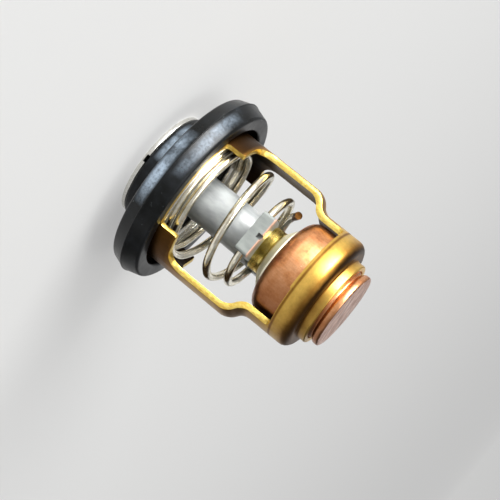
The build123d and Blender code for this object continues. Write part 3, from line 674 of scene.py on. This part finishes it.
element = {"rim": 27.3, "rimIn": 6.25, "rimRound": 2.5, "radius": 9.2, "wall": 0.8, "wallRound": 1.7,
           "step": 36.4, "small": 6.95, "end": 41.2, "bead": 7.2, "beadHigh": 1.2, "groove": 0.3,
           "grooveTop": 1.5, "grooveLow": 1.8, "grooveEnd": 2.1}
casePiece = turned("caseCopper", [
    (0, element["end"], 0), (element["bead"], element["end"], 0.4),
    (element["bead"], element["end"] - element["beadHigh"], 0.4),
    (element["small"] - element["groove"], element["end"] - element["grooveTop"], 0.1),
    (element["small"] - element["groove"], element["end"] - element["grooveLow"], 0.1),
    (element["small"], element["end"] - element["grooveEnd"], 0.1), (element["small"], element["step"], 0.2),
    (element["radius"], element["step"], 0.8), (element["radius"], element["rim"], element["rimRound"]),
    (element["rimIn"], element["rim"], 0.2), (element["rimIn"], element["rim"] + element["wall"], 0.2),
    (element["radius"] - element["wall"], element["rim"] + element["wall"], element["wallRound"]),
    (element["radius"] - element["wall"], element["step"] - element["wall"], 0),
    (0, element["step"] - element["wall"], 0),
], finishes["copper"], steps=160)
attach(casePiece, "frame_body")
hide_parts("element_case")

guide = {"bore": 1.57, "radius": 4.25, "top": 23.35, "collar": 6.15, "collarLow": 25.45, "collarHigh": 26.84,
         "flange": 8.1, "flangeLow": 29.05, "flangeRise": 0.8, "flangeHigh": 1.4, "cone": 3.33, "plug": 2.13,
         "plugDrop": 0.4}
guidePiece = turned("guideBrass", [
    (guide["bore"], guide["top"], 0.15), (guide["radius"], guide["top"], 0.2),
    (guide["radius"], guide["collarLow"], 0.25), (guide["collar"], guide["collarHigh"], 0.12),
    (guide["collar"], guide["flangeLow"], 0), (guide["flange"], guide["flangeLow"] + guide["flangeRise"], 0),
    (guide["flange"], guide["flangeLow"] + guide["flangeHigh"], 0),
    (guide["cone"], guide["flangeLow"] + guide["flangeHigh"], 0),
    (guide["plug"], guide["flangeLow"] - guide["plugDrop"], 0),
    (guide["bore"], guide["flangeLow"] - guide["plugDrop"], 0),
], finishes["guide"], steps=128)
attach(guidePiece, "frame_body")
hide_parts("element_guide")
finishNode("wax_charge", "copper")
finishNode("diaphragm", "rubber")
finishNode("rubber_plug", "rubber")
finishNode("backup_disc", "retainer")
print("element made")


# floor, camera and light: here sizes are in metres; the target is the part's middle

studio = {"floor": "cdcdcb", "shown": 0.80, "share": 0.5, "halfWide": 9, "halfLong": 6, "sweep": 0.4,
          "target": (0, 0, 0.021), "brightSide": (-0.70, -0.62, 0.34), "roomDark": 0.06, "roomBright": 0.62}


def paleFloor():
    # matt paper: for the camera and in reflections half of its tone is its own, so it stays even
    material, tree, shader, _ = startMaterial("pale_paper")
    connect(tree, shader, {"Base Color": linear(studio["floor"]), "Roughness": 0.9})
    glow = addNode(tree, "ShaderNodeEmission", inputs={"Color": grey(studio["shown"]), "Strength": 1.0})
    rays = addNode(tree, "ShaderNodeLightPath")
    seen = addNode(tree, "ShaderNodeMath", {"operation": "MAXIMUM"}, {
        0: rays.outputs["Is Camera Ray"], 1: rays.outputs["Is Glossy Ray"]})
    seenAll = addNode(tree, "ShaderNodeMath", {"operation": "MAXIMUM"}, {
        0: seen.outputs["Value"], 1: rays.outputs["Is Transmission Ray"]})
    share = addNode(tree, "ShaderNodeMath", {"operation": "MULTIPLY"}, {
        0: seenAll.outputs["Value"], 1: studio["share"]})
    blend = addNode(tree, "ShaderNodeMixShader", inputs={
        0: share.outputs["Value"], 1: shader.outputs["BSDF"], 2: glow.outputs["Emission"]})
    connect(tree, tree.nodes["Material Output"], {"Surface": blend.outputs["Shader"]})
    return material


# the sheet runs flat and then sweeps up, so that no horizon shows
bm = bmesh.new()
ends = [bm.verts.new((x, -studio["halfLong"], 0)) for x in (-studio["halfWide"], studio["halfWide"])]
edge = bm.edges.new(ends)
flat = bmesh.ops.extrude_edge_only(bm, edges=[edge])
moved = [v for v in flat["geom"] if isinstance(v, bmesh.types.BMVert)]
bmesh.ops.translate(bm, verts=moved, vec=(0, 2 * studio["halfLong"], 0))
farEdge = [e for e in bm.edges if all(v in moved for v in e.verts)]
bmesh.ops.spin(bm, geom=moved + farEdge, cent=(0, studio["halfLong"], studio["sweep"]), axis=(1, 0, 0),
               angle=math.pi / 2, steps=24)
floor = pieceFromBmesh("floorSheet", bm, paleFloor(), 60)

# the photo's camera, rolled so that the standing part leans as it does in the picture
cameraTurn = Matrix(((-0.64232128, -0.76167244, 0.08531391),
                     (0.10307244, -0.19614579, -0.9751425),
                     (0.75947313, -0.61756127, 0.20449605)))
cameraPlace = Vector((0.02495952, -0.26428589, 0.07740656))
cameraData = bpy.data.cameras.new("photoCamera")
cameraData.lens = 115.2
cameraData.sensor_width = 36
cameraData.clip_start = 0.01
cameraData.clip_end = 20
camera = bpy.data.objects.new("photoCamera", cameraData)
bpy.context.scene.collection.objects.link(camera)
camera.matrix_world = Matrix.Translation(cameraPlace) @ cameraTurn.to_4x4()
bpy.context.scene.camera = camera


def softLamp(name, azimuth, elevation, distance, width, height, power):
    data = bpy.data.lights.new(name, "AREA")
    data.shape = "RECTANGLE"
    data.size = width
    data.size_y = height
    data.energy = power
    lamp = bpy.data.objects.new(name, data)
    bpy.context.scene.collection.objects.link(lamp)
    flat = math.cos(math.radians(elevation))
    towards = Vector((flat * math.cos(math.radians(azimuth)), flat * math.sin(math.radians(azimuth)),
                      math.sin(math.radians(elevation))))
    lamp.location = Vector(studio["target"]) + towards * distance
    lamp.rotation_euler = towards.to_track_quat("Z", "Y").to_euler()


# angles in degrees, distance and size in metres, power in watts
softLamp("keyLamp", -138, 15, 1.0, 0.8, 0.45, 20)  # from the side that is lit in the photo
softLamp("lowLamp", -138, 4, 0.5, 0.35, 0.07, 2.0)  # a narrow highlight on upright walls
softLamp("topLamp", -120, 60, 1.1, 0.6, 0.6, 4)  # fills the upper faces
softLamp("backLamp", 95, 16, 6.6, 4.3, 2.15, 20)  # far away, for the side behind the camera's view
softLamp("sideLamp", -15, 12, 1.2, 0.3, 0.5, 0.4)  # a faint edge on the shaded side

# the room is brighter on the key lamp's side
world = bpy.data.worlds.new("studioWorld")
bpy.context.scene.world = world
world.use_nodes = True
tree = world.node_tree
direction = addNode(tree, "ShaderNodeTexCoord").outputs["Generated"]
facing = addNode(tree, "ShaderNodeVectorMath", {"operation": "DOT_PRODUCT"}, {
    0: direction, 1: studio["brightSide"]})
fall = addNode(tree, "ShaderNodeMapRange", inputs={
    "Value": facing.outputs["Value"], "From Min": -1.0, "From Max": 1.0,
    "To Min": studio["roomDark"], "To Max": studio["roomBright"]})
connect(tree, tree.nodes["Background"], {"Color": grey(1.0), "Strength": fall.outputs["Result"]})
bpy.context.scene.view_settings.view_transform = "Standard"
print("stage made")
